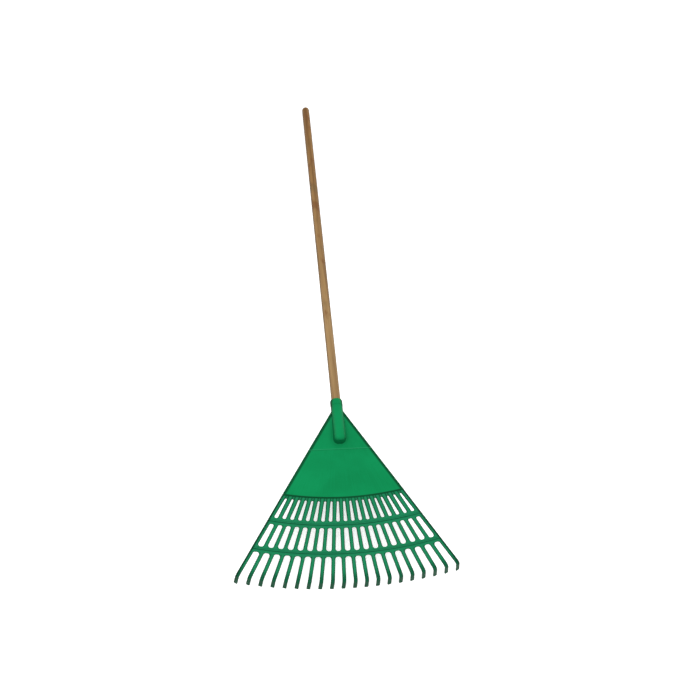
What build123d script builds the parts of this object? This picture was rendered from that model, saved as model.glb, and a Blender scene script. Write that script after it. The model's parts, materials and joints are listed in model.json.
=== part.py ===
from build123d import *
from math import asin, atan, atan2, cos, degrees, hypot, radians, sin, sqrt
import os

# A leaf rake: a round wooden handle, a moulded head with a socket, a solid triangular panel and a
# slotted fan, and twenty springy tines with hooked tips. All sizes are in millimetres.
#
# Rake frame, in which every piece is first made: the handle's axis is the Y axis, the socket's
# mouth is at y = 0, the handle leaves it towards +Y, and +Z is the upper side of the rake.
# At the end the rake is laid down, tine tips and handle end on the plane z = 0, and centred.

# Wooden handle
HANDLE_DIAMETER = 22.0
HANDLE_LENGTH = 1200.0
HANDLE_IN_SOCKET = 103.0
TENON_DIAMETER = 21.0        # the stretch in the socket is turned down a little
SHOULDER_FROM_MOUTH = 0.3
TENON_CHAMFER = 1.5

# Socket
SOCKET_DIAMETER = 28.0
COLLAR_DIAMETER = 29.0
COLLAR_LENGTH = 15.0
BORE_CLEARANCE = 0.1         # on the diameter
SOCKET_LENGTH = 110.0
SOCKET_END_ROUNDING = 11.5
COLLAR_ROUNDING = 2.0
SOCKET_FILLET = 2.5

# Screw that pins the handle in the socket, from below
SCREW_SHANK_DIAMETER = 4.0
SCREW_HEAD_DIAMETER = 8.0
SCREW_LENGTH = 19.0
SCREW_FROM_MOUTH = 24.0
SCREW_POINT = 1.4            # bevel at the shank's end
SCREW_HEAD_HEIGHT = 2.6
SCREW_HEAD_ROUNDING = 1.5
RECESS_LENGTH = 4.4
RECESS_WIDTH = 1.0
SCREW_PAD_DEPTH = 15.2       # the flat pad under the tube, measured from the handle's axis
SCREW_PAD_MARGIN = 1.5
PILOT_CLEARANCE = 0.1

# Fan: all the tines spread from one apex, in a plane that dips away from the handle's axis
FAN_DIP = 12.0
APEX_BELOW_MOUTH = 16.4
APEX_ABOVE_AXIS = 3.3
TINES = 20
TINE_PITCH = 0.0612          # sideways run per millimetre, between neighbours at the middle
TINE_SPREAD = 0.089          # how much more the outermost tines splay
OUTERMOST = (TINES - 1) / 2  # tines are numbered from the middle, so the outer ones are +- this

# Distances from the apex, along the middle of the fan
PANEL_START = 13.0
CREASE = 107.0
PANEL_END = 221.0
SLOT_1_START, SLOT_1_END = 227.0, 272.5
BAR_1_RIB = 280.0
SLOT_2_START, SLOT_2_END = 287.0, 337.5
BAR_2_RIB = 343.0
BAR_2_END = 350.0
TIP_BEND = 403.0

# The cross lines of the fan are arcs that flatten from the panel to the tips
PANEL_ARC_RADIUS = 682.0
TIP_ARC_RADIUS = 1127.0

# Sections
SHEET = 3.0                  # thickness of the fan and of the tines
PANEL_RISE = 1.8             # the panel stands this much above the fan
CREASE_RISE = 0.7            # and this much more above the crease
CREASE_BEVEL = 0.42
PANEL_SHEET = 2.6
TINE_WIDTH = 8.5
TINE_WIDTH_AT_PANEL = 10.0
RIM_WIDTH = 3.6
RIM_DEPTH = 8.0
PANEL_RIBS = (-6.5, -3.0, 3.0, 6.5)
RIB_START = 20.0             # the ribs under the panel start this far below its upper end
SPINE_SETBACK = 1.5
SLOT_ROUNDING = 0.44          # radius at a slot's corners, as a share of its width
RIB_WIDTH = 2.4
RIB_HEIGHT = 2.4
SPINE_DEPTH = 2.6

# Hooked tips
HOOK_ANGLE = 75.0
HOOK_LENGTH = 31.0
BEND_RADIUS = 10.0

EDGE_ROUNDING = 0.8
PANEL_EDGE_ROUNDING = 2.0

# A tine flexes just below the second crossbar, where its root stub ends
STUB_LENGTH = 10.5
FLEX_GAP = 0.3

ROUNDS = 12                  # steps that settle where a straight line meets a cross line
TOLERANCE = 0.01

fan = Plane(
    origin=(0, -APEX_BELOW_MOUTH, APEX_ABOVE_AXIS),
    x_dir=(1, 0, 0),
    z_dir=(0, -sin(radians(FAN_DIP)), cos(radians(FAN_DIP))),
)


# ---------- fan geometry: u is across, r is the distance from the apex along the middle ----------

def slant(tine):
    """Sideways run of a tine per millimetre along the middle; tine counts from the middle."""
    return TINE_PITCH * tine * (1 + TINE_SPREAD * (tine / OUTERMOST) ** 2)


def arc_radius(r):
    """Radius of the cross line that passes the middle of the fan at r."""
    share = (r - PANEL_END) / (TIP_BEND - PANEL_END)
    return 1 / ((1 - share) / PANEL_ARC_RADIUS + share / TIP_ARC_RADIUS)


def arc_at(r, u):
    """Distance r of the cross line at u."""
    radius = arc_radius(r)
    return r - radius + sqrt(radius ** 2 - u ** 2)


def tine_width(r):
    """Width of a tine: widest at the panel, even from the first crossbar on."""
    share = min(1, max(0, (SLOT_1_END - r) / (SLOT_1_END - PANEL_END)))
    return TINE_WIDTH + share * (TINE_WIDTH_AT_PANEL - TINE_WIDTH)


def edge_point(tine, side, r_middle):
    """Point (u, r) where one edge of a tine meets the cross line of r_middle."""
    r = r_middle
    for _ in range(ROUNDS):
        u = slant(tine) * r + side * tine_width(r) / 2 / cos(atan(slant(tine)))
        r = arc_at(r_middle, u)
    return u, r


def point(u, r):
    return (u, -r)


def cross_arc(r_middle, u_left, u_right):
    """The cross line of r_middle between two places across."""
    ends = [point(u, arc_at(r_middle, u)) for u in (u_left, u_right)]
    u_mid = (u_left + u_right) / 2
    return ThreePointArc(ends[0], point(u_mid, arc_at(r_middle, u_mid)), ends[1])


def sector(r_start, r_end, inset=0.0):
    """The fan's outline between two cross lines, moved in from the side edges by inset."""
    corners = []
    for r in (r_start, r_end):
        u, _ = edge_point(OUTERMOST, 1, r)
        corners.append(u - inset / cos(atan(slant(OUTERMOST))))
    near, far = corners
    top = cross_arc(r_start, -near, near)
    bottom = cross_arc(r_end, -far, far)
    right = Line(top @ 1, bottom @ 1)
    left = Line(bottom @ 0, top @ 0)
    return make_face([top, right, bottom, left])


def slot(gap, r_start, r_end, open_end=False):
    """The space between tines gap - 1/2 and gap + 1/2, with rounded ends."""
    left, right = gap - 0.5, gap + 0.5
    corners = [
        edge_point(left, 1, r_start),
        edge_point(right, -1, r_start),
        edge_point(right, -1, r_end),
        edge_point(left, 1, r_end),
    ]
    face = make_face(Polyline([point(u, r) for u, r in corners], close=True))
    lean = cos(atan(slant(gap)))
    near_width = (corners[1][0] - corners[0][0]) * lean
    far_width = (corners[2][0] - corners[3][0]) * lean
    if not open_end:
        face = fillet(face.vertices().sort_by(Axis.Y)[:2], SLOT_ROUNDING * far_width)
    return fillet(face.vertices().sort_by(Axis.Y)[-2:], SLOT_ROUNDING * near_width)


def layer(face, bottom, top):
    """A face of the fan plane, as a layer between two heights above that plane."""
    placed = fan * Pos(0, 0, bottom) * face
    return extrude(placed, amount=top - bottom, dir=fan.z_dir)


def gaps():
    """The spaces between neighbouring tines, counted from the middle."""
    return [i - (TINES - 2) / 2 for i in range(TINES - 1)]


def tines():
    """The tines, counted from the middle."""
    return [i - OUTERMOST for i in range(TINES)]


def tine_plane(tine, s=0.0):
    """A plane across a tine, s along it from the apex: x is sideways, y is up, z is outward."""
    angle = atan(slant(tine))
    along = fan.x_dir * sin(angle) - fan.y_dir * cos(angle)
    sideways = fan.x_dir * cos(angle) + fan.y_dir * sin(angle)
    return Plane(origin=fan.origin + along * s, x_dir=sideways, z_dir=along)


def along_tine(tine, r_middle):
    """Distance from the apex, along a tine, to the cross line of r_middle."""
    r = r_middle
    for _ in range(ROUNDS):
        r = arc_at(r_middle, slant(tine) * r)
    return r / cos(atan(slant(tine)))


def flex_place(tine):
    """Distance from the apex, along a tine, to the axis about which its free end flexes."""
    return along_tine(tine, BAR_2_END) + STUB_LENGTH + FLEX_GAP + SHEET / 2


def rib(tine, s_start, s_end, bottom, top):
    """A straight rib along a tine, between two distances from the apex."""
    block = Box(RIB_WIDTH, top - bottom, s_end - s_start, align=(Align.CENTER, Align.MIN, Align.MIN))
    return tine_plane(tine, s_start) * Pos(0, bottom, 0) * block


# ---------- the head ----------

def fan_sheet():
    """The slotted sheet below the panel, down to the root stubs of the tines."""
    past_stubs = BAR_2_END + 2 * STUB_LENGTH
    sheet = layer(sector(PANEL_END - PANEL_SHEET, past_stubs), -SHEET / 2, SHEET / 2)
    spaces = []
    for gap in gaps():
        outlines = [
            slot(gap, SLOT_1_START, SLOT_1_END),
            slot(gap, SLOT_2_START, SLOT_2_END),
            slot(gap, BAR_2_END, past_stubs + STUB_LENGTH, open_end=True),
        ]
        spaces += [layer(outline, -SHEET, SHEET) for outline in outlines]
    for tine in tines():
        end = along_tine(tine, BAR_2_END) + STUB_LENGTH
        block = Box(
            3 * TINE_WIDTH,
            4 * SHEET,
            4 * STUB_LENGTH,
            align=(Align.CENTER, Align.CENTER, Align.MIN),
        )
        spaces.append(tine_plane(tine, end) * block)
    return sheet - spaces


def up_axis():
    return Axis(fan.origin, fan.z_dir)


def top_face(piece):
    """The uppermost face that is parallel to the fan's plane."""
    return piece.faces().filter_by(up_axis()).sort_by(up_axis())[-1]


def rounded_above(piece, radius):
    """The piece with the edges of its uppermost face rounded."""
    return fillet(top_face(piece).edges(), radius)


def above_crease():
    """Outline of the panel's thicker upper part, which ends at the straight crease."""
    inset = 2 * RIM_WIDTH - TINE_WIDTH_AT_PANEL / 2
    upper, lower = PANEL_START + SHEET, CREASE
    near, far = (slant(OUTERMOST) * r - inset / cos(atan(slant(OUTERMOST))) for r in (upper, lower))
    corners = [point(-near, upper), point(near, upper), point(far, lower), point(-far, lower)]
    return make_face(Polyline(corners, close=True))


def panel():
    """The solid triangle: a raised sheet, open below, with a turned-down rim all round."""
    top = SHEET / 2 + PANEL_RISE
    block = layer(sector(PANEL_START, PANEL_END), top - RIM_DEPTH, top)
    hollow = sector(PANEL_START - SHEET, PANEL_END - PANEL_SHEET, inset=RIM_WIDTH)
    shell = rounded_above(block, PANEL_EDGE_ROUNDING)
    shell -= layer(hollow, top - 2 * RIM_DEPTH, top - PANEL_SHEET)
    thick_part = layer(above_crease(), top - PANEL_SHEET / 2, top + CREASE_RISE)
    return shell + chamfer(top_face(thick_part).edges(), CREASE_BEVEL)


def panel_ribs():
    """Stiffening ribs under the panel: four spread like the tines, two along the cross lines."""
    top = SHEET / 2 + PANEL_RISE - PANEL_SHEET / 2
    bottom = SHEET / 2 + PANEL_RISE - RIM_DEPTH
    ribs = []
    for number in PANEL_RIBS:
        start = along_tine(number, PANEL_START + RIB_START)
        end = along_tine(number, PANEL_END - PANEL_SHEET / 2)
        ribs.append(rib(number, start, end, bottom, top))
    for r in (CREASE, (CREASE + PANEL_END) / 2):
        ribs.append(layer(sector(r, r + RIB_WIDTH, inset=RIM_WIDTH / 2), bottom, top))
    return ribs


def crossbar_ribs():
    """A raised line along each crossbar, above and below the sheet."""
    ribs = []
    for r in (BAR_1_RIB, BAR_2_RIB):
        outline = sector(r - RIB_WIDTH / 2, r + RIB_WIDTH / 2, inset=RIM_WIDTH / 4)
        raised = layer(outline, 0, SHEET / 2 + RIB_HEIGHT)
        ribs.append(rounded_above(raised, EDGE_ROUNDING))
        ribs.append(layer(outline, -SHEET / 2 - SPINE_DEPTH, 0))
    return ribs


def spines():
    """A spine under every tine, from the panel to the end of its root stub."""
    ribs = []
    for number in tines():
        start = along_tine(number, PANEL_END - PANEL_SHEET / 2)
        end = along_tine(number, BAR_2_END) + STUB_LENGTH - SPINE_SETBACK
        ribs.append(rib(number, start, end, -SHEET / 2 - SPINE_DEPTH, 0))
    return ribs


def tube():
    """The closed tube, with its collar at the mouth and its rounded end."""
    upright = (Align.CENTER, Align.CENTER, Align.MIN)
    barrel = Cylinder(SOCKET_DIAMETER / 2, SOCKET_LENGTH, align=upright)
    barrel = fillet(barrel.edges().filter_by(GeomType.CIRCLE).sort_by(Axis.Z)[-1], SOCKET_END_ROUNDING)
    collar = Cylinder(COLLAR_DIAMETER / 2, COLLAR_LENGTH, align=upright)
    ends = collar.edges().filter_by(GeomType.CIRCLE).sort_by(Axis.Z)
    collar = fillet(ends[-1], COLLAR_DIAMETER / 2 - SOCKET_DIAMETER / 2)
    collar = fillet(collar.edges().filter_by(GeomType.CIRCLE).sort_by(Axis.Z)[0], COLLAR_ROUNDING)
    return Rot(90, 0, 0) * (barrel + collar)


def arch():
    """The tube's upper half on upright walls that reach down to the panel."""
    radius = SOCKET_DIAMETER / 2
    roof = ThreePointArc((-radius, 0), (0, radius), (radius, 0))
    base = Polyline((radius, 0), (radius, -SOCKET_LENGTH), (-radius, -SOCKET_LENGTH), (-radius, 0))
    block = extrude(Plane.XZ * make_face([roof, base]), amount=SOCKET_LENGTH)
    far_edges = block.faces().sort_by(Axis.Y)[0].edges().sort_by(Axis.Z)
    block = fillet(far_edges[1:], SOCKET_END_ROUNDING)
    inside_panel = SHEET / 2 + PANEL_RISE - PANEL_SHEET / 2
    return block & layer(sector(PANEL_START, PANEL_END), inside_panel, SOCKET_LENGTH)


def screw_pad():
    """The flat pad under the tube for the screw's head."""
    radius = SCREW_HEAD_DIAMETER / 2 + SCREW_PAD_MARGIN
    pad = Cylinder(radius, SCREW_PAD_DEPTH, align=(Align.CENTER, Align.CENTER, Align.MAX))
    return Pos(0, -SCREW_FROM_MOUTH, 0) * pad


def on_walls(place):
    """Whether a point lies on the upright walls, seen from above."""
    radius = SOCKET_DIAMETER / 2
    centre = radius - SOCKET_END_ROUNDING
    past_x = max(0, abs(place.X) - centre)
    past_y = max(0, -place.Y - (SOCKET_LENGTH - SOCKET_END_ROUNDING))
    return abs(hypot(past_x, past_y) - SOCKET_END_ROUNDING) < TOLERANCE


def with_socket(plate):
    """The panel joined to the tube, with a soft fillet where the tube's walls meet the panel."""
    joined = plate + arch() + tube() + screw_pad()
    level = SHEET / 2 + PANEL_RISE + CREASE_RISE
    seam = []
    for edge in joined.edges():
        places = [edge @ share for share in (0, 0.5, 1)]
        heights = [fan.to_local_coords(place).Z for place in places]
        if all(map(on_walls, places)) and max(abs(height - level) for height in heights) < TOLERANCE:
            seam.append(edge)
    return fillet(seam, SOCKET_FILLET)


def rake_head():
    """The whole moulding."""
    sheet = rounded_above(fan_sheet(), EDGE_ROUNDING) + crossbar_ribs() + spines()
    plate = with_socket(panel()) + panel_ribs()
    bore = Rot(90, 0, 0) * Cylinder(
        (TENON_DIAMETER + BORE_CLEARANCE) / 2,
        HANDLE_IN_SOCKET,
        align=(Align.CENTER, Align.CENTER, Align.MIN),
    )
    hole_radius = SCREW_SHANK_DIAMETER / 2 + PILOT_CLEARANCE
    hole = Cylinder(hole_radius, COLLAR_DIAMETER, align=(Align.CENTER, Align.CENTER, Align.MAX))
    return sheet + plate - bore - Pos(0, -SCREW_FROM_MOUTH, 0) * hole


# ---------- the free tines ----------

def tine_section(width, bottom, top, rounding):
    """Cross-section of a tine's sheet or of its spine."""
    outline = Pos(0, (top + bottom) / 2) * Rectangle(width, top - bottom)
    return fillet(outline.vertices().sort_by(Axis.Y)[-2:], rounding)


def tine(number):
    """The flexing end of one tine: straight, then hooked down, with a rounded root."""
    across = tine_plane(number, flex_place(number))
    length = along_tine(number, TIP_BEND) - flex_place(number)
    reach = HOOK_LENGTH + 2 * BEND_RADIUS
    hook = (length + reach * cos(radians(HOOK_ANGLE)), -reach * sin(radians(HOOK_ANGLE)))
    places = [across.origin + across.z_dir * z + across.y_dir * y for z, y in ((0, 0), (length, 0), hook)]
    path = FilletPolyline(*places, radius=BEND_RADIUS)
    flat = across * tine_section(TINE_WIDTH, -SHEET / 2, SHEET / 2, EDGE_ROUNDING)
    body = sweep(flat, path)
    root = across * Rot(0, 90, 0) * Cylinder(SHEET / 2, TINE_WIDTH)
    spine_section = Pos(0, -SHEET / 2 - SPINE_DEPTH / 2) * Rectangle(RIB_WIDTH, SPINE_DEPTH + SHEET / 2)
    spine = sweep(across * spine_section, path)
    clear_root = across * Box(2 * TINE_WIDTH, 4 * SHEET, 2 * SPINE_DEPTH)
    return body + root + (spine - clear_root) - below_floor()


# ---------- handle and screw ----------

def handle():
    """A straight round stick with a tenon for the socket and a domed free end."""
    radius = HANDLE_DIAMETER / 2
    free_length = HANDLE_LENGTH - HANDLE_IN_SOCKET - SHOULDER_FROM_MOUTH - radius
    stick = Cylinder(radius, free_length, align=(Align.CENTER, Align.CENTER, Align.MIN))
    stick = stick + Pos(0, 0, free_length) * Sphere(radius)
    tenon_length = HANDLE_IN_SOCKET + SHOULDER_FROM_MOUTH
    tenon = Cylinder(TENON_DIAMETER / 2, tenon_length, align=(Align.CENTER, Align.CENTER, Align.MAX))
    tenon = chamfer(tenon.edges().filter_by(GeomType.CIRCLE).sort_by(Axis.Z)[0], TENON_CHAMFER)
    stick = Pos(0, SHOULDER_FROM_MOUTH, 0) * Rot(-90, 0, 0) * (stick + tenon)
    pilot_radius = SCREW_SHANK_DIAMETER / 2 + PILOT_CLEARANCE
    depth = SCREW_LENGTH + SCREW_SHANK_DIAMETER / 2
    pilot = Cylinder(pilot_radius, depth, align=(Align.CENTER, Align.CENTER, Align.MIN))
    return stick - Pos(0, -SCREW_FROM_MOUTH, -SCREW_PAD_DEPTH) * pilot


def handle_screw():
    """A pan-head screw with a cross recess, driven up from below."""
    shank_radius = SCREW_SHANK_DIAMETER / 2
    shank = Cylinder(shank_radius, SCREW_LENGTH, align=(Align.CENTER, Align.CENTER, Align.MIN))
    shank = chamfer(shank.edges().filter_by(GeomType.CIRCLE).sort_by(Axis.Z)[-1], SCREW_POINT)
    head_radius = SCREW_HEAD_DIAMETER / 2
    head = Cylinder(head_radius, SCREW_HEAD_HEIGHT, align=(Align.CENTER, Align.CENTER, Align.MAX))
    head = fillet(head.edges().filter_by(GeomType.CIRCLE).sort_by(Axis.Z)[0], SCREW_HEAD_ROUNDING)
    recess = Box(RECESS_LENGTH, RECESS_WIDTH, SCREW_HEAD_HEIGHT)
    recess = Pos(0, 0, -SCREW_HEAD_HEIGHT) * (recess + Rot(0, 0, 90) * recess)
    return Pos(0, -SCREW_FROM_MOUTH, -SCREW_PAD_DEPTH) * (shank + head - recess)


# ---------- how the rake lies ----------

def hook_end():
    """Where the middle of the fan's row of hooks meets the floor, in the rake frame."""
    angle = radians(HOOK_ANGLE)
    end = Vector(0, -TIP_BEND - HOOK_LENGTH * cos(angle), -HOOK_LENGTH * sin(angle))
    return fan.from_local_coords(end)


def floor_slope():
    """Slope of the floor in the rake frame: it touches the tips and the handle's domed end."""
    radius = HANDLE_DIAMETER / 2
    tip = hook_end()
    dy = HANDLE_LENGTH - HANDLE_IN_SOCKET - radius - tip.Y
    dz = -tip.Z
    return atan2(dz, dy) - asin(radius / hypot(dy, dz))


def below_floor():
    """What lies just under the floor, in the rake frame: the tips are trimmed level with it."""
    slab = Box(3 * TIP_BEND, TIP_BEND, 3 * HOOK_LENGTH, align=(Align.CENTER, Align.CENTER, Align.MAX))
    return Pos(hook_end()) * Rot(degrees(floor_slope()), 0, 0) * slab


def lie_down():
    """The move that lays the rake on the floor, z = 0."""
    turned = Rot(-degrees(floor_slope()), 0, 0)
    tip = turned * Pos(hook_end())
    return Pos(0, 0, -tip.position.Z) * turned


def pieces():
    """Every node and its solid, in the rake frame."""
    nodes = {"handle": handle(), "handle_screw": handle_screw(), "rake_head": rake_head()}
    for i, number in enumerate(tines()):
        nodes[f"tine_{i + 1:02d}"] = tine(number)
    return nodes


lying = {name: lie_down() * solid for name, solid in pieces().items()}
middle = Compound(list(lying.values())).bounding_box().center()

os.makedirs("parts", exist_ok=True)
for name, solid in lying.items():
    export_step(Pos(0, -middle.Y, 0) * solid, f"parts/{name}.step")
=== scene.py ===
import json
from math import cos, pi, radians, sin, sqrt, tan

import bpy
from mathutils import Matrix, Vector, noise


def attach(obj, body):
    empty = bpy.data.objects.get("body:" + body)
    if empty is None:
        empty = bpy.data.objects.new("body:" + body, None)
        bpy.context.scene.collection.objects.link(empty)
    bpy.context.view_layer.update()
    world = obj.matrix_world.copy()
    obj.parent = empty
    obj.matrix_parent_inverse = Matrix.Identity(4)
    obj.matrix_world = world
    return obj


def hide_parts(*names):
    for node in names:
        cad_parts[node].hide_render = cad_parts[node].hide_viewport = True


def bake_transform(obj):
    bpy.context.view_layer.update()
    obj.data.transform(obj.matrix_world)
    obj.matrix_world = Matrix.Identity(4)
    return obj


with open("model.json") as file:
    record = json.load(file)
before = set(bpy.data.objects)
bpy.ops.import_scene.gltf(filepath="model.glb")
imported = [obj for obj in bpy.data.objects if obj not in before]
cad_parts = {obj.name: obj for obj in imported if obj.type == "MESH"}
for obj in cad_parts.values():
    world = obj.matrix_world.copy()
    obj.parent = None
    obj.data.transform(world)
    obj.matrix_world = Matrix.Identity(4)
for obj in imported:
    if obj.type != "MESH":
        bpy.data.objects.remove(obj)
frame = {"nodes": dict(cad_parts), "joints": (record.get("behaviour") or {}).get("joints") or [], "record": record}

# A leaf rake lying on a pale studio floor: a wooden handle and a moulded green head with hooked tines.
# The head and the screw are the CAD nodes with a finish of their own. The handle is a new mesh with the
# slight unevenness of turned wood. Every tine is a new mesh from inside its root stub, by the CAD tine's
# hinge, to its hooked tip. Sizes are in metres.

MM = 0.001

# Sizes that repeat the CAD model's
SHEET = 3.0 * MM
TINE_WIDTH = 8.5 * MM
TINE_ROUNDING = 0.8 * MM
SPINE_WIDTH = 2.4 * MM
SPINE_DEPTH = 2.6 * MM
HOOK_ANGLE = radians(75)
BEND_RADIUS = 10 * MM
ROOT_GAP = 1.8 * MM          # from the end of a root stub to the hinge
SPINE_SETBACK = 1.5 * MM     # the stub's spine ends this much sooner
TENON_RADIUS = 10.5 * MM
TENON_LENGTH = 103.3 * MM
TENON_CHAMFER = 1.5 * MM
PANEL_WIDTH_AT_APEX = 11.8 * MM

# The fan's cross lines, as distances from the apex along the middle, with the radii of their arcs
CREASE = 107 * MM
PANEL_END, PANEL_ARC = 221 * MM, 682 * MM
BARS = ((280 * MM, 782 * MM), (343 * MM, 927 * MM))
TIP_BEND, TIP_ARC = 403 * MM, 1127 * MM
TINES = 20
TINE_PITCH = 0.0612          # sideways run per metre, between neighbours at the middle
TINE_SPREAD = 0.075          # undoes the outer tines' extra splay, so that places count tines evenly

# The meshes of the tines
OVERLAP = 0.5 * MM           # how far a tine's mesh reaches into its stub
OVERLAP_SCALE = 0.9          # and the size of its first ring there, as a share of the others'
LOWER_ROUNDING = 0.2 * MM
SPINE_TAPER = 0.2 * MM
SPINE_ROUNDING = 0.5 * MM
SPINE_TOP_ROUNDING = 0.1 * MM
CORNER_STEPS = 4
STRAIGHT_STEPS = 12
BEND_STEPS = 10
TIP_SHARES = (0.7, 1.0)      # rings past the bend, as shares of the way from its corner to the tip

# The mesh of the handle
HANDLE_SIDES = 64
SHAFT_RINGS = 140
DOME_STEPS = 14
SHOULDER_ROUNDING = 0.3 * MM
SHOULDER_RING = 0.2 * MM     # the tenon has a ring this far from the shoulder
END_RADIUS = 0.2 * MM        # both ends close with a flat face this small
UNEVENNESS = 0.12 * MM       # the turned shaft is up to this much under its full radius
UNEVEN_FROM = 4 * MM
UNEVEN_AROUND, UNEVEN_ALONG = 1.3, 9    # how fast the unevenness changes around and along the shaft

SMOOTH_ANGLE = radians(35)   # edges sharper than this stay sharp

# Marks on the plastic, most of them painted shade and the crease's a painted highlight; a pair says at which
# distance a mark starts to show and at which it is full
PANEL_BORDER = (-1 * MM, 1 * MM)
FAN_HEIGHT = (6.0 * MM, 4.4 * MM)       # what stands higher over the fan is the socket
# Painted shade along the rims: its width on the tines and on the panel
RIM_SHADE_ON_TINES, RIM_SHADE_ON_PANEL = 5.4 * MM, 8.4 * MM
SIDE_RIM_SHADE = (1.0, 0.6)                   # in shares of those widths
RIM_NARROWS = 50 * MM                   # over which the panel's side edge runs out into the outer tine
OUTER_TINE_HALF = TINE_WIDTH * 0.58     # the leaning outer tine, measured across the fan
LOWER_RIM_SHADE = (4.2 * MM, 2.4 * MM)
# Painted shade along both edges of each tine, and how far it stays clear of the cross bars
INNER_TINE_EDGE_SHADE = (1.7 * MM, 3.6 * MM)
OUTER_TINE_EDGE_SHADE = (6.4 * MM, 4.8 * MM)
SHADE_CLEAR_OF_BAR = (6 * MM, 10 * MM)
# Painted shade on the hooks
TIP_SHADE = (26 * MM, 2 * MM)
CREASE_HIGHLIGHT = (1.5 * MM, 0.6 * MM)
CREASE_HIGHLIGHT_ABOVE = 1.4 * MM            # the painted highlight runs this much nearer the apex than the crease
FLOW_PER_RADIAN = 9.0                   # flow marks fan out from the apex: metres of pattern to a radian

# Wood: how often its markings change to a metre, across the grain (x and y) and along it (z)
STREAKS = (90, 90, 2.2)
FIBRES = (1100, 1100, 22)
RED_PATCHES = (30, 30, 13)
OLIVE_PATCHES = (22, 22, 9)
DARK_END = (1 * MM, 9 * MM)             # past the end of the shaft, on the dome

# Stage: a light's place, the length of its sides and its power in watts
KEY_LIGHT = (Vector((-1.6, -1.2, 3.2)), 2.6, 24)
FILL_LIGHT = (Vector((2.4, 0.6, 3.0)), 3.0, 10)
LIGHTS_AIM = Vector((0, -0.2, 0))
FLOOR_REACH = 30.0
FLOOR_GLOW = 0.55
WHITE = (1.0, 1.0, 1.0)

# Camera
CAMERA_PLACE = Vector((-0.2158, -1.4022, 1.8863))
CAMERA_AIM = Vector((0.0582, -0.1372, 0.0))
CAMERA_ROLL = radians(8.48)
CAMERA_LENS = 46.09

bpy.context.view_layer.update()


# ---------- what the frame says ----------

def mount(name):
    """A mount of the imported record."""
    return next(m for m in frame["record"]["mounts"] if m["name"] == name)


shaft = mount("handle_shaft")
shaft_axis = Vector(shaft["axis"]).normalized()
shaft_radius = shaft["dims"]["r_mm"] * MM
shaft_length = shaft["dims"]["length_mm"] * MM
shaft_start = Vector(shaft["pos_m"]) - shaft_axis * shaft_length / 2

tine_joints = sorted(frame["joints"], key=lambda joint: joint["name"])
first_axis, last_axis = (Vector(tine_joints[i]["axis"]) for i in (0, -1))
fan_normal = first_axis.cross(last_axis).normalized()
if fan_normal.z < 0:
    fan_normal.negate()


def apex():
    """Where the lines of the outermost tines meet."""
    places = [Vector(tine_joints[i]["pos_m"]) for i in (0, -1)]
    lines = [fan_normal.cross(axis).normalized() for axis in (first_axis, last_axis)]
    between = places[1] - places[0]
    cosine = (lines[0] + lines[1]).normalized().dot(lines[0])
    run = between.length / 2 / sqrt(1 - cosine ** 2)
    return places[0] - lines[0] * run


fan_apex = apex()
fan_middle = (fan_normal.cross(first_axis) + fan_normal.cross(last_axis)).normalized()


# ---------- shader graphs ----------

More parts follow.
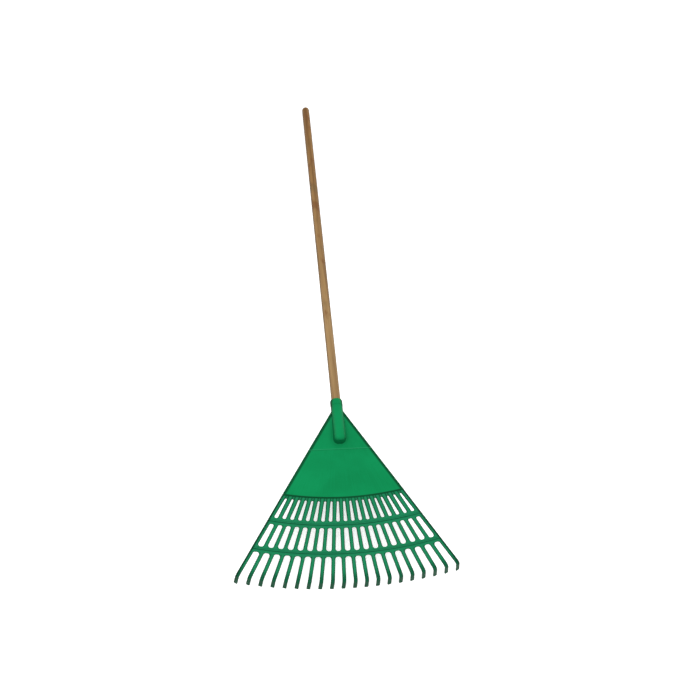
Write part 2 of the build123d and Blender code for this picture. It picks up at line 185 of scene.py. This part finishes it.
class Graph:
    """The node graph of one material, with short calls for the nodes that it uses."""

    def __init__(self, name):
        self.material = bpy.data.materials.new(name)
        self.material.use_nodes = True
        self.tree = self.material.node_tree
        self.tree.nodes.clear()
        self.shader = self.node("ShaderNodeBsdfPrincipled")
        output = self.node("ShaderNodeOutputMaterial")
        self.link(self.shader.outputs["BSDF"], output.inputs["Surface"])

    def node(self, kind, settings=None, **inputs):
        """A node with its properties set, and its inputs given as values or as sockets to link."""
        made = self.tree.nodes.new(kind)
        for name, value in (settings or {}).items():
            setattr(made, name, value)
        for name, value in inputs.items():
            self.set(made.inputs[name.replace("_", " ")], value)
        return made

    def set(self, socket, value):
        """Links a socket to the input, or gives it a constant value."""
        if isinstance(value, bpy.types.NodeSocket):
            self.link(value, socket)
        else:
            socket.default_value = value

    def link(self, source, target):
        self.tree.links.new(source, target)

    def calculation(self, kind, operation, values):
        """A node that works something out of the values, which go to its inputs in order."""
        made = self.node(kind, {"operation": operation})
        for socket, value in zip(made.inputs, values):
            self.set(socket, value)
        return made

    def math(self, operation, *values):
        return self.calculation("ShaderNodeMath", operation, values).outputs[0]

    def times(self, first, second):
        return self.math("MULTIPLY", first, second)

    def minus(self, first, second):
        return self.math("SUBTRACT", first, second)

    def vector_math(self, operation, *values):
        made = self.calculation("ShaderNodeVectorMath", operation, values)
        return made.outputs["Value" if operation == "DOT_PRODUCT" else "Vector"]

    def place(self, scale=(1, 1, 1)):
        """The object's own coordinates, stretched."""
        coordinates = self.node("ShaderNodeTexCoord").outputs["Object"]
        return self.node("ShaderNodeMapping", Vector=coordinates, Scale=scale).outputs[0]

    def noise(self, vector, scale, detail=3.0, roughness=0.5, distortion=0.0):
        made = self.node(
            "ShaderNodeTexNoise",
            Vector=vector,
            Scale=scale,
            Detail=detail,
            Roughness=roughness,
            Distortion=distortion,
        )
        return made.outputs["Fac"]

    def spread(self, value, low, high, to_low=0.0, to_high=1.0):
        """A value remapped smoothly from one range to another, and kept inside it."""
        made = self.node(
            "ShaderNodeMapRange",
            {"interpolation_type": "SMOOTHSTEP"},
            Value=value,
            From_Min=low,
            From_Max=high,
            To_Min=to_low,
            To_Max=to_high,
        )
        return made.outputs["Result"]

    def mix(self, share, first, second):
        """Two colours mixed; a colour is a socket or an (r, g, b)."""
        made = self.node("ShaderNodeMix", {"data_type": "RGBA"})
        factor, colour_a, colour_b = made.inputs[0], made.inputs[6], made.inputs[7]
        for socket, value in zip((factor, colour_a, colour_b), (share, first, second)):
            self.set(socket, (*value, 1) if isinstance(value, tuple) else value)
        return made.outputs[2]

    def tinted(self, colour, *layers):
        """A colour with others mixed into it one after another, each layer a share and a colour."""
        for share, tone in layers:
            colour = self.mix(share, colour, tone)
        return colour

    def bump(self, height, distance, strength, normal=None):
        """A normal with fine relief, over another normal where one is given."""
        made = self.node("ShaderNodeBump", Height=height, Distance=distance, Strength=strength)
        if normal:
            self.link(normal, made.inputs["Normal"])
        return made.outputs[0]

    def finish(self, **inputs):
        """The material, once the shader's inputs are set."""
        for name, value in inputs.items():
            value = (*value, 1) if isinstance(value, tuple) and len(value) == 3 else value
            self.set(self.shader.inputs[name.replace("_", " ")], value)
        return self.material


def srgb(red, green, blue):
    """A colour given as 0 to 255, in linear light."""
    shares = [c / 255 for c in (red, green, blue)]
    return tuple(c / 12.92 if c <= 0.04045 else ((c + 0.055) / 1.055) ** 2.4 for c in shares)


# ---------- materials ----------

def above_line(g, across, along, middle, radius):
    """Distance towards the apex from one of the fan's curved cross lines."""
    down = g.math("ADD", along, radius - middle)
    out = g.math("SQRT", g.math("ADD", g.math("POWER", across, 2.0), g.math("POWER", down, 2.0)))
    return g.minus(radius, out)


def from_side_edge(g, across, along):
    """Distance from the nearer side edge of the fan."""
    outer_line = fan_normal.cross(first_axis).normalized()
    slope = abs(outer_line.x) / outer_line.dot(fan_middle)
    cosine = 1 / sqrt(1 + slope ** 2)
    panel_half = PANEL_WIDTH_AT_APEX / 2
    half_width = g.spread(along, PANEL_END, PANEL_END + RIM_NARROWS, panel_half, OUTER_TINE_HALF)
    edge = g.math("ADD", g.times(along, slope), half_width)
    return g.times(g.minus(edge, g.math("ABSOLUTE", across)), cosine)


def from_tine_middle(g, across, along):
    """Distance from the centre line of the nearest tine; tines lie at half numbers from the middle."""
    outermost = (TINES - 1) / 2
    turns = g.math("DIVIDE", g.math("DIVIDE", across, along), TINE_PITCH)
    splay = g.math("MULTIPLY_ADD", g.math("POWER", turns, 2.0), TINE_SPREAD / outermost ** 2, 1.0)
    number = g.math("DIVIDE", turns, splay)
    beside = g.math("ABSOLUTE", g.minus(g.math("FRACT", number), 0.5))
    return g.times(g.times(beside, along), TINE_PITCH)


def plastic_marks(g, across, along, height):
    """How strong each mark is, from 0 to 1; the first two say what is past the panel and on the fan, the others
    are painted shade on the rims, beside the tines and on the hooks, and a painted highlight along the crease.
    """
    to_panel_end = above_line(g, across, along, PANEL_END, PANEL_ARC)
    on_panel = g.spread(to_panel_end, *PANEL_BORDER)
    off_panel = g.spread(on_panel, 1.0, 0.0)
    on_fan = g.math("MAXIMUM", g.spread(height, *FAN_HEIGHT), off_panel)

    # painted shade along the fan's side rims and the panel's lower edge
    side_width = g.spread(on_panel, 0.0, 1.0, RIM_SHADE_ON_TINES, RIM_SHADE_ON_PANEL)
    side_rim_shade = g.spread(g.math("DIVIDE", from_side_edge(g, across, along), side_width), *SIDE_RIM_SHADE)
    lower_rim_shade = g.times(g.spread(to_panel_end, *LOWER_RIM_SHADE), on_panel)
    rim_shade = g.times(g.math("MAXIMUM", side_rim_shade, lower_rim_shade), on_fan)

    beside = from_tine_middle(g, across, along)
    # painted shade along both edges of each tine, kept off the panel and the cross bars
    tine_edge_shade = g.times(g.spread(beside, *INNER_TINE_EDGE_SHADE), g.spread(beside, *OUTER_TINE_EDGE_SHADE))
    tine_edge_shade = g.times(tine_edge_shade, off_panel)
    for middle, radius in BARS:
        from_bar = g.math("ABSOLUTE", above_line(g, across, along, middle, radius))
        tine_edge_shade = g.times(tine_edge_shade, g.spread(from_bar, *SHADE_CLEAR_OF_BAR))

    # painted shade that darkens the hooks towards their tips
    tip = g.spread(above_line(g, across, along, TIP_BEND, TIP_ARC), *TIP_SHADE)
    # a painted highlight in a thin line just above the crease
    from_crease = g.math("ABSOLUTE", g.minus(along, CREASE - CREASE_HIGHLIGHT_ABOVE))
    crease_highlight = g.times(g.spread(from_crease, *CREASE_HIGHLIGHT), on_fan)
    return off_panel, on_fan, rim_shade, tine_edge_shade, tip, crease_highlight


def plastic():
    """Moulded green polypropylene: satin, with flow marks, a fine grain and scuffed edges, and painted shade on
    its rims, flanks, tine edges, hooks and hollows with a painted highlight along the crease.
    """
    g = Graph("green_plastic")
    place = g.place()
    soft_normal = g.node("ShaderNodeBevel", {"samples": 4}, Radius=0.5 * MM).outputs[0]
    true_normal = g.node("ShaderNodeNewGeometry").outputs["True Normal"]
    edge = g.spread(g.vector_math("DOT_PRODUCT", soft_normal, true_normal), 0.995, 0.8)
    facing = g.vector_math("DOT_PRODUCT", true_normal, tuple(fan_normal))
    # painted shade where nearby surfaces hide the plastic, in creases and hollows
    occlusion_shade = g.node("ShaderNodeAmbientOcclusion", {"samples": 8}, Distance=7 * MM).outputs["AO"]

    from_apex = g.vector_math("SUBTRACT", place, tuple(fan_apex))
    across = g.vector_math("DOT_PRODUCT", from_apex, (1, 0, 0))
    along = g.vector_math("DOT_PRODUCT", from_apex, tuple(fan_middle))
    height = g.vector_math("DOT_PRODUCT", from_apex, tuple(fan_normal))
    off_panel, on_fan, rim_shade, tine_edge_shade, tip, crease_highlight = plastic_marks(g, across, along, height)

    bearing = g.times(g.math("ARCTAN2", across, along), FLOW_PER_RADIAN)
    flow_place = g.node("ShaderNodeCombineXYZ", X=bearing, Y=along).outputs[0]
    flow = g.noise(flow_place, scale=14.0, detail=4.0, roughness=0.6)
    clouds = g.noise(place, scale=16.0, detail=4.0)
    scuffs = g.noise(place, scale=420.0, detail=5.0, roughness=0.7)
    worn = g.times(edge, g.spread(scuffs, 0.4, 0.62))
    # painted shade on the fan's faces that turn sideways, away from its face-on direction
    turned_away_shade = g.times(g.spread(facing, 0.9, 0.1), g.spread(on_fan, 0.0, 1.0, to_high=0.86))
    # painted shade down the socket's flanks, darker as they turn from the fan's face
    socket_flank_shade = g.times(g.spread(facing, 1.0, 0.2), g.spread(on_fan, 1.0, 0.0, to_high=0.66))
    colour = g.tinted(
        g.mix(g.spread(clouds, 0.3, 0.7), srgb(3, 126, 71), srgb(6, 136, 79)),
        (g.spread(flow, 0.35, 0.7, to_high=0.3), srgb(12, 144, 87)),
        (g.times(off_panel, 0.6), srgb(34, 121, 87)),
        (turned_away_shade, srgb(2, 50, 29)),
        (socket_flank_shade, srgb(2, 58, 33)),
        (g.times(tine_edge_shade, 0.75), srgb(3, 62, 36)),
        # painted shade on the hooks
        (g.times(tip, 0.7), srgb(4, 62, 40)),
        (g.times(rim_shade, 0.8), srgb(2, 52, 29)),
        (g.times(crease_highlight, 0.3), srgb(50, 160, 110)),
        (g.spread(occlusion_shade, 0.9, 0.35, to_high=0.6), srgb(2, 56, 31)),
        (g.times(worn, 0.12), srgb(60, 150, 106)),
    )

    grain = g.noise(place, scale=2600.0, detail=2.0)
    sheen = g.noise(place, scale=55.0, detail=6.0, roughness=0.65)
    normal = g.bump(grain, distance=0.02 * MM, strength=0.5, normal=soft_normal)
    normal = g.bump(flow, distance=0.25 * MM, strength=0.25, normal=normal)
    return g.finish(
        Base_Color=colour,
        Roughness=g.spread(sheen, 0.3, 0.7, 0.4, 0.55),
        Normal=normal,
        Specular_IOR_Level=0.05,
    )


def wood():
    """Bare sanded softwood: streaks, fibres and patches, redder towards the end, with painted shade down the
    sides.
    """
    g = Graph("wood")
    coordinates = g.node("ShaderNodeTexCoord").outputs["Object"]
    height = g.node("ShaderNodeSeparateXYZ", Vector=coordinates).outputs["Z"]
    true_normal = g.node("ShaderNodeNewGeometry").outputs["True Normal"]
    upward = g.node("ShaderNodeSeparateXYZ", Vector=true_normal).outputs["Z"]
    streaks = g.noise(g.place(STREAKS), scale=1.0, detail=4.0, roughness=0.6, distortion=0.4)
    fibres = g.noise(g.place(FIBRES), scale=1.0, detail=3.0, roughness=0.6)
    red_patches = g.noise(g.place(RED_PATCHES), scale=1.0, detail=3.0)
    olive_patches = g.noise(g.place(OLIVE_PATCHES), scale=1.3, detail=2.0)

    share = g.spread(height, 0.0, shaft_length)
    light = g.mix(share, srgb(161, 130, 87), srgb(142, 104, 54))
    dark = g.mix(share, srgb(132, 102, 64), srgb(108, 74, 34))
    dark_start, dark_full = (shaft_length + past for past in DARK_END)
    colour = g.tinted(
        g.mix(g.spread(streaks, 0.36, 0.64), dark, light),
        (g.spread(red_patches, 0.54, 0.66, to_high=0.65), srgb(112, 66, 28)),
        (g.spread(olive_patches, 0.54, 0.7, to_high=0.4), srgb(98, 84, 50)),
        (g.spread(fibres, 0.5, 0.72, to_high=0.4), srgb(84, 58, 32)),
        # painted shade: faces that turn away from straight up are darker
        (g.spread(upward, 0.9, 0.1, to_high=0.6), srgb(58, 44, 25)),
        (g.spread(height, dark_start, dark_full, to_high=0.6), srgb(70, 52, 30)),
    )
    normal = g.bump(fibres, distance=0.12 * MM, strength=0.6)
    normal = g.bump(streaks, distance=0.3 * MM, strength=0.35, normal=normal)
    return g.finish(
        Base_Color=colour,
        Roughness=g.spread(fibres, 0.3, 0.7, 0.5, 0.68),
        Normal=normal,
        Specular_IOR_Level=0.2,
    )


def zinc():
    """Zinc-plated steel with fine tooling marks and dull spots."""
    g = Graph("zinc_screw")
    spots = g.noise(g.place(), scale=700.0, detail=5.0)
    marks = g.noise(g.place((1, 1, 9)), scale=900.0, detail=3.0)
    return g.finish(
        Base_Color=g.mix(g.spread(spots, 0.35, 0.65), srgb(150, 148, 140), srgb(196, 196, 190)),
        Metallic=1.0,
        Roughness=g.spread(spots, 0.3, 0.7, 0.25, 0.5),
        Normal=g.bump(marks, distance=0.02 * MM, strength=0.5),
    )


def studio_floor():
    """A matt pale surface that glows a little, which keeps the shadows on it faint."""
    g = Graph("studio_floor")
    tone = g.noise(g.place(), scale=3.0, detail=3.0)
    return g.finish(
        Base_Color=g.mix(tone, (0.93, 0.93, 0.93), (0.95, 0.95, 0.95)),
        Roughness=0.9,
        Specular_IOR_Level=0.1,
        Emission_Color=WHITE,
        Emission_Strength=FLOOR_GLOW,
    )


# ---------- meshes ----------

def mesh_object(name, vertices, faces, material):
    """A mesh object with one material, smooth except at its sharp edges."""
    mesh = bpy.data.meshes.new(name)
    mesh.from_pydata([tuple(v) for v in vertices], [], faces)
    mesh.validate()
    mesh.materials.append(material)
    made = bpy.data.objects.new(name, mesh)
    bpy.context.scene.collection.objects.link(made)
    mesh.shade_smooth()
    mesh.set_sharp_from_angle(angle=SMOOTH_ANGLE)
    return made


def tube_faces(rings, around, first=0):
    """Faces that join rings of around vertices each, closed at both ends."""
    faces = []
    for ring in range(rings - 1):
        low, high = first + ring * around, first + (ring + 1) * around
        for i in range(around):
            j = (i + 1) % around
            faces.append((low + i, low + j, high + j, high + i))
    last = first + (rings - 1) * around
    faces.append(tuple(range(first + around - 1, first - 1, -1)))
    faces.append(tuple(range(last, last + around)))
    return faces


def rounded_outline(corners):
    """A closed outline from corners (x, y, radius), anticlockwise, with each corner as an arc."""
    outline = []
    for i, (x, y, radius) in enumerate(corners):
        corner = Vector((x, y))
        before = (Vector(corners[i - 1][:2]) - corner).normalized()
        after = (Vector(corners[(i + 1) % len(corners)][:2]) - corner).normalized()
        half = before.angle(after) / 2
        start, end = corner + before * radius / tan(half), corner + after * radius / tan(half)
        centre = corner + (before + after).normalized() * radius / sin(half)
        for step in range(CORNER_STEPS + 1):
            spoke = start.lerp(end, step / CORNER_STEPS) - centre
            outline.append(centre + spoke.normalized() * radius)
    return outline


def tine_outlines():
    """The two outlines of a tine across its length: the sheet, and the spine below it."""
    half, deep = TINE_WIDTH / 2, SHEET / 2
    sheet = rounded_outline([
        (half, deep, TINE_ROUNDING),
        (-half, deep, TINE_ROUNDING),
        (-half, -deep, LOWER_ROUNDING),
        (half, -deep, LOWER_ROUNDING),
    ])
    narrow, low = SPINE_WIDTH / 2, -deep - SPINE_DEPTH
    spine = rounded_outline([
        (narrow, 0, SPINE_TOP_ROUNDING),
        (-narrow, 0, SPINE_TOP_ROUNDING),
        (-narrow + SPINE_TAPER, low, SPINE_ROUNDING),
        (narrow - SPINE_TAPER, low, SPINE_ROUNDING),
    ])
    return sheet, spine


def hook_path(start, along, bend, tip):
    """Places and headings down a tine: straight from start, round the bend's arc, and on to the tip."""
    down = (tip - bend).normalized()
    turn = along.angle(down)
    setback = BEND_RADIUS * tan(turn / 2)
    centre = bend + (down - along).normalized() * BEND_RADIUS / cos(turn / 2)
    straight_end = bend - along * setback
    run = (straight_end - start).length
    path = [(start + along * run * i / STRAIGHT_STEPS, along) for i in range(STRAIGHT_STEPS)]
    spoke = straight_end - centre
    hinge = along.cross(down).normalized()
    for step in range(BEND_STEPS + 1):
        swing = Matrix.Rotation(turn * step / BEND_STEPS, 3, hinge)
        path.append((centre + swing @ spoke, swing @ along))
    path += [(bend.lerp(tip, share), down) for share in TIP_SHARES]
    return path


def onto_floor(place, heading):
    """The point moved along a heading until it meets the floor."""
    return place + heading * (place.z / -heading.z)


def tine(joint):
    """One tine, from inside its root stub to the hooked tip that rests on the floor."""
    name = joint["child"]
    hinge = Vector(joint["pos_m"])
    sideways = -Vector(joint["axis"]).normalized()
    along = sideways.cross(fan_normal).normalized()
    down = along * cos(HOOK_ANGLE) - fan_normal * sin(HOOK_ANGLE)
    outward = along * sin(HOOK_ANGLE) + fan_normal * cos(HOOK_ANGLE)
    # The outer face of the CAD tine's hook says where the two straight stretches would meet
    reach = max((v.co - hinge).dot(outward) for v in frame["nodes"][name].data.vertices)
    bend = hinge + along * (reach - SHEET / 2) / sin(HOOK_ANGLE)
    tip = onto_floor(bend, down)

    vertices, faces = [], []
    for outline, setback in zip(tine_outlines(), (0, SPINE_SETBACK)):
        start = hinge - along * (ROOT_GAP + setback)
        path = [(start - along * OVERLAP, along), *hook_path(start, along, bend, tip)]
        first = len(vertices)
        for number, (place, heading) in enumerate(path):
            upward = heading.cross(sideways)
            size = OVERLAP_SCALE if number == 0 else 1.0
            ring = [place + (sideways * x + upward * y) * size for x, y in outline]
            if number == len(path) - 1:
                ring = [onto_floor(point, heading) for point in ring]
            vertices += ring
        faces += tube_faces(len(path), len(outline), first)
    made = mesh_object(f"{name}_spring", vertices, faces, green)
    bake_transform(made)
    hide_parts(name)


def handle_profile():
    """The stick's outline as (radius, height) pairs, from the tenon's end up to the dome's."""
    profile = [
        (END_RADIUS, -TENON_LENGTH),
        (TENON_RADIUS - TENON_CHAMFER, -TENON_LENGTH),
        (TENON_RADIUS, -TENON_LENGTH + TENON_CHAMFER),
        (TENON_RADIUS, -SHOULDER_RING),
        (TENON_RADIUS, 0.0),
        (shaft_radius - SHOULDER_ROUNDING, 0.0),
        (shaft_radius, SHOULDER_ROUNDING),
    ]
    profile += [(shaft_radius, shaft_length * i / SHAFT_RINGS) for i in range(1, SHAFT_RINGS + 1)]
    for step in range(1, DOME_STEPS):
        angle = pi / 2 * step / DOME_STEPS
        profile.append((shaft_radius * cos(angle), shaft_length + shaft_radius * sin(angle)))
    profile.append((END_RADIUS, shaft_length + shaft_radius))
    return profile


def handle():
    """The stick: a tenon, a shoulder, a long shaft with a turned stick's unevenness, and a domed end."""
    vertices = []
    profile = handle_profile()
    for radius, height in profile:
        uneven = UNEVENNESS if UNEVEN_FROM < height < shaft_length else 0.0
        for i in range(HANDLE_SIDES):
            angle = 2 * pi * i / HANDLE_SIDES
            spot = Vector((cos(angle) * UNEVEN_AROUND, sin(angle) * UNEVEN_AROUND, height * UNEVEN_ALONG))
            out = radius - uneven * (0.5 + 0.5 * noise.noise(spot))
            vertices.append(Vector((out * cos(angle), out * sin(angle), height)))
    made = mesh_object("handle_stick", vertices, tube_faces(len(profile), HANDLE_SIDES), wood_finish)
    turn = shaft_axis.to_track_quat("Z", "Y").to_matrix().to_4x4()
    made.matrix_world = Matrix.Translation(shaft_start) @ turn
    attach(made, "rake")
    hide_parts("handle")


# ---------- stage ----------

def floor():
    """A wide square floor at z = 0."""
    signs = ((-1, -1), (1, -1), (1, 1), (-1, 1))
    corners = [Vector((x * FLOOR_REACH, y * FLOOR_REACH, 0)) for x, y in signs]
    made = mesh_object("floor", corners, [(0, 1, 2, 3)], studio_floor())


def area_light(name, place, size, power):
    """A square light that faces the rake."""
    light = bpy.data.lights.new(name, "AREA")
    light.size = size
    light.energy = power
    made = bpy.data.objects.new(name, light)
    made.location = place
    made.rotation_euler = (LIGHTS_AIM - place).to_track_quat("-Z", "Y").to_euler()
    bpy.context.scene.collection.objects.link(made)


def lights():
    """A key light from the left, a weaker fill from the right and a white surround."""
    area_light("key", *KEY_LIGHT)
    area_light("fill", *FILL_LIGHT)
    world = bpy.data.worlds.new("studio")
    world.use_nodes = True
    background = world.node_tree.nodes["Background"].inputs
    background["Color"].default_value = (*WHITE, 1)
    background["Strength"].default_value = 1.0
    bpy.context.scene.world = world
    bpy.context.scene.view_settings.view_transform = "Standard"


def camera():
    """The photograph's viewpoint."""
    data = bpy.data.cameras.new("camera")
    data.lens = CAMERA_LENS
    made = bpy.data.objects.new("camera", data)
    look = (CAMERA_AIM - CAMERA_PLACE).to_track_quat("-Z", "Y").to_matrix()
    rolled = look @ Matrix.Rotation(CAMERA_ROLL, 3, "Z")
    made.matrix_world = Matrix.Translation(CAMERA_PLACE) @ rolled.to_4x4()
    bpy.context.scene.collection.objects.link(made)
    bpy.context.scene.camera = made


green = plastic()
wood_finish = wood()
frame["nodes"]["rake_head"].material_slots[0].material = green
frame["nodes"]["handle_screw"].material_slots[0].material = zinc()
for joint in tine_joints:
    tine(joint)
handle()
floor()
lights()
camera()
